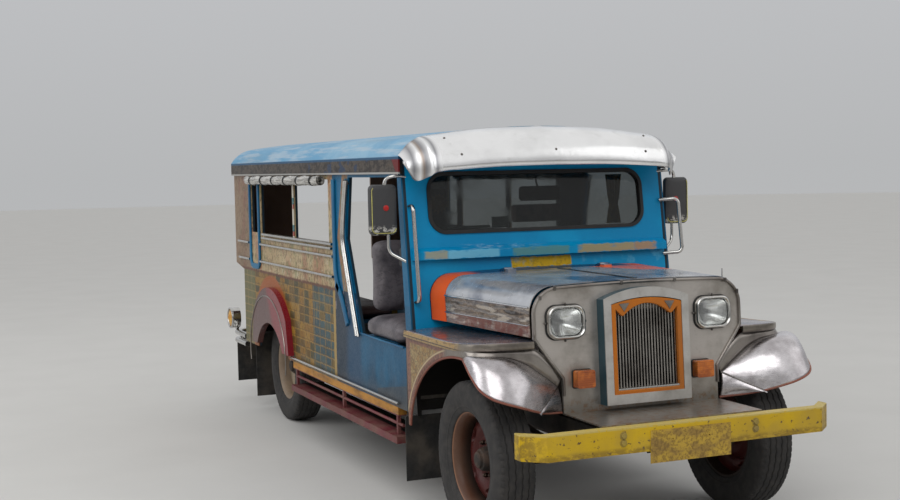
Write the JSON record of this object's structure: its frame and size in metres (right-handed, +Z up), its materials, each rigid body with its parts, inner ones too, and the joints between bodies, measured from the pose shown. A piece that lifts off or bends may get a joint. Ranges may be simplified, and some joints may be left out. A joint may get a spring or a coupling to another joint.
{
  "type": "jeepney",
  "caption": "Long open-sided passenger jeepney on a ladder frame, with front engine, opening hood, steered front wheels, open doorways, side benches and a rear entrance.",
  "frame": {"origin": "on the ground, midway along the length and the width", "axes": "+X to the driver's (left) side, +Y to the rear, +Z up; the front faces -Y"},
  "size_m": [2.036, 5.6199, 2.088],
  "materials": {
    "blue_paint": "worn gloss",
    "roof_paint": "faded gloss",
    "side_paint": "weathered",
    "rose_paint": "worn",
    "yellow_paint": "chipped",
    "chassis_paint": "dusty matt",
    "bare_steel": "weathered",
    "stainless": "polished",
    "chrome": "polished",
    "grille_metal": "satin",
    "amber": "ribbed",
    "lamp_red": "gloss",
    "glass": "clear",
    "rubber": "dull",
    "tyre": "dusty",
    "rim_brown": "rusty",
    "rim_cream": "worn",
    "silver_vinyl": "creased",
    "dark_vinyl": "creased",
    "black_plastic": "grained",
    "curtain_vinyl": "clear rolled sheet",
    "cast": "oily"
  },
  "bodies": {
    "chassis": {"frame_rails": "chassis_paint", "cross_members": "chassis_paint", "front_axle": "cast", "rear_axle": "cast", "leaf_springs": "cast", "engine_block": "cast", "driveline": "cast", "fuel_tank": "chassis_paint", "exhaust": "cast", "radiator": "black_plastic", "front_bumper": "yellow_paint", "front_panel": "bare_steel", "grille_surround": "grille_metal", "grille_bars": "chrome", "headlamp_rings": "chrome", "headlamp_lenses": "glass", "turn_lamps": "amber", "front_fenders": "stainless", "mud_flaps": "rubber", "cab_front": "blue_paint", "cowl": "blue_paint", "grab_rails": "chrome", "windscreen_glass": "glass", "windscreen_gasket": "rubber", "visor": "stainless", "roof": "roof_paint", "side_body_left": "side_paint", "side_body_right": "side_paint", "rear_corners": "side_paint", "rear_fenders": "rose_paint", "side_steps": "rose_paint", "floor": "chassis_paint", "dashboard": "black_plastic", "steering_column": "chassis_paint", "front_seat_base": "blue_paint", "front_seats": "silver_vinyl", "bench_bases": "blue_paint", "bench_pads": "dark_vinyl", "rolled_curtains": "curtain_vinyl", "side_mirrors": "black_plastic", "rear_lamps": "lamp_red", "rear_bumper": "chrome", "fender_lamp": "chrome"},
    "hood": {"hood": "stainless"},
    "knuckle_left": {"knuckle_left": "cast"},
    "knuckle_right": {"knuckle_right": "cast"},
    "tie_rod": {"tie_rod": "cast"},
    "steering_wheel": {"steering_wheel": "black_plastic"},
    "wheel_front_left": {"rim_front_left": "rim_brown", "tyre_front_left": "tyre"},
    "wheel_front_right": {"rim_front_right": "rim_brown", "tyre_front_right": "tyre"},
    "wheel_rear_left": {"rim_rear_left": "rim_cream", "tyre_rear_left": "tyre"},
    "wheel_rear_right": {"rim_rear_right": "rim_cream", "tyre_rear_right": "tyre"}
  },
  "joints": [
    {"name": "hood_hinge", "type": "hinge", "parent": "chassis", "child": "hood", "pos_m": [0, -1.45417, 1.295], "axis": [-1, 0, 0], "range_deg": [0, 50]},
    {"name": "steer_left", "type": "hinge", "parent": "chassis", "child": "knuckle_left", "pos_m": [0.6525, -2.081, 0.4], "axis": [0, 0, 1], "range_deg": [-28, 28]},
    {"name": "steer_right", "type": "hinge", "parent": "chassis", "child": "knuckle_right", "pos_m": [-0.6525, -2.081, 0.4], "axis": [0, 0, 1], "range_deg": [-28, 28]},
    {"name": "tie_rod_slide", "type": "slide", "parent": "chassis", "child": "tie_rod", "axis": [1, 0, 0], "range_m": [-0.0735, 0.0735]},
    {"name": "steering_wheel_turn", "type": "hinge", "parent": "chassis", "child": "steering_wheel", "pos_m": [0.4, -0.856, 1.225], "axis": [0, 0.5492, 0.8357], "range_deg": [-449, 449]},
    {"name": "spin_front_left", "type": "hinge", "parent": "knuckle_left", "child": "wheel_front_left", "pos_m": [0.7425, -2.081, 0.4], "axis": [1, 0, 0], "continuous": true},
    {"name": "spin_front_right", "type": "hinge", "parent": "knuckle_right", "child": "wheel_front_right", "pos_m": [-0.7425, -2.081, 0.4], "axis": [1, 0, 0], "continuous": true},
    {"name": "spin_rear_left", "type": "hinge", "parent": "chassis", "child": "wheel_rear_left", "pos_m": [0.6495, 1.551, 0.4], "axis": [1, 0, 0], "continuous": true},
    {"name": "spin_rear_right", "type": "hinge", "parent": "chassis", "child": "wheel_rear_right", "pos_m": [-0.6495, 1.551, 0.4], "axis": [1, 0, 0], "continuous": true}
  ],
  "couplings": [
    {"joint": "steer_right", "follows": "steer_left", "ratio": 1},
    {"joint": "tie_rod_slide", "follows": "steer_left", "m_per_rad": -0.15},
    {"joint": "steering_wheel_turn", "follows": "steer_left", "ratio": 16}
  ]
}
